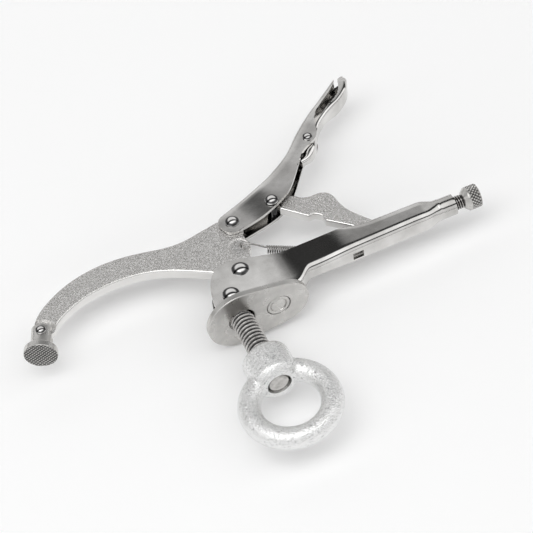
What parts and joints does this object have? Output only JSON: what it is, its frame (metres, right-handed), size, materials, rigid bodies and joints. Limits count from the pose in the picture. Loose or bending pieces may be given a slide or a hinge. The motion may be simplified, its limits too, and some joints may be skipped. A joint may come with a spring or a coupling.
{
  "type": "locking hold-down clamp",
  "caption": "Over-centre locking clamp with a curved jaw arm and swivel pad, folded-sheet handles, release lever, base plate, and a swing stud with an eye nut for a slotted table.",
  "frame": {"origin": "centre of the base plate's table face", "axes": "+X along the fixed handle towards the adjusting knob, +Y from the table face up to the jaw and handles, +Z square to the plane the clamp works in"},
  "size_m": [0.2495, 0.2114, 0.037],
  "materials": {
    "plated_sheet": "polished nickel plate on pressed steel sheet",
    "pearl_nickel": "blasted faces with polished edges, nickel plated",
    "cast_zinc": "rough forged skin, bright zinc plated",
    "satin_steel": "satin nickel plate",
    "bright_steel": "bright nickel plate",
    "spring_steel": "plain spring wire"
  },
  "bodies": {
    "fixed_handle": {"fixed_handle": "plated_sheet", "base_plate": "satin_steel", "base_plate_rivet": "satin_steel", "pivot_rivet": "bright_steel", "stud_pin": "bright_steel", "return_spring": "spring_steel"},
    "jaw": {"jaw_arm": "pearl_nickel", "pad_rivet": "bright_steel"},
    "movable_handle": {"movable_handle": "plated_sheet", "handle_rivet": "bright_steel", "link_rivet": "bright_steel", "lever_rivet": "bright_steel", "lever_spring": "spring_steel"},
    "toggle_link": {"toggle_link": "pearl_nickel"},
    "release_lever": {"release_lever": "plated_sheet"},
    "swivel_pad": {"swivel_pad": "satin_steel"},
    "adjusting_screw": {"adjusting_screw": "bright_steel"},
    "adjusting_knob": {"adjusting_knob": "satin_steel"},
    "swing_stud": {"swing_stud": "bright_steel"},
    "eye_nut": {"eye_nut": "cast_zinc"}
  },
  "joints": [
    {"name": "jaw_pivot", "type": "hinge", "parent": "fixed_handle", "child": "jaw", "pos_m": [0.0008, 0.0265, 0], "axis": [0, 0, 1], "range_deg": [0, 12], "stiffness_Nm_per_rad": 0.49, "springref_deg": -31.51, "deforming": ["return_spring"]},
    {"name": "handle_fold", "type": "hinge", "parent": "jaw", "child": "movable_handle", "pos_m": [0.0099, 0.0575, 0], "axis": [0, 0, 1], "range_deg": [-42.4, 0]},
    {"name": "link_pivot", "type": "hinge", "parent": "movable_handle", "child": "toggle_link", "pos_m": [0.0336, 0.0605, 0], "axis": [0, 0, 1], "range_deg": [0, 44.2]},
    {"name": "release_pivot", "type": "hinge", "parent": "movable_handle", "child": "release_lever", "pos_m": [0.0679, 0.0912, 0], "axis": [0, 0, 1], "range_deg": [-5, 2], "stiffness_Nm_per_rad": 0.1},
    {"name": "pad_swivel", "type": "hinge", "parent": "jaw", "child": "swivel_pad", "pos_m": [-0.105, 0.0369, 0], "axis": [0, 0, 1], "range_deg": [-30, 30]},
    {"name": "stud_swing", "type": "hinge", "parent": "fixed_handle", "child": "swing_stud", "pos_m": [-0.0102, 0.0128, 0], "axis": [0, 0, 1], "range_deg": [-3, 3]},
    {"name": "eye_nut_travel", "type": "slide", "parent": "swing_stud", "child": "eye_nut", "axis": [0, 1, 0], "range_m": [-0.008, 0.0255]},
    {"name": "screw_travel", "type": "slide", "parent": "fixed_handle", "child": "adjusting_screw", "axis": [1, 0, 0], "range_m": [-0.00125, 0.01]},
    {"name": "knob_turn", "type": "hinge", "parent": "adjusting_screw", "child": "adjusting_knob", "pos_m": [0.1224, 0.0195, 0], "axis": [1, 0, 0], "range_deg": [-360, 2880]}
  ],
  "couplings": [
    {"joint": "jaw_pivot", "follows": "handle_fold", "ratio": -0.283},
    {"joint": "link_pivot", "follows": "handle_fold", "ratio": -1.04},
    {"joint": "knob_turn", "follows": "screw_travel", "rad_per_m": 5026.5}
  ]
}
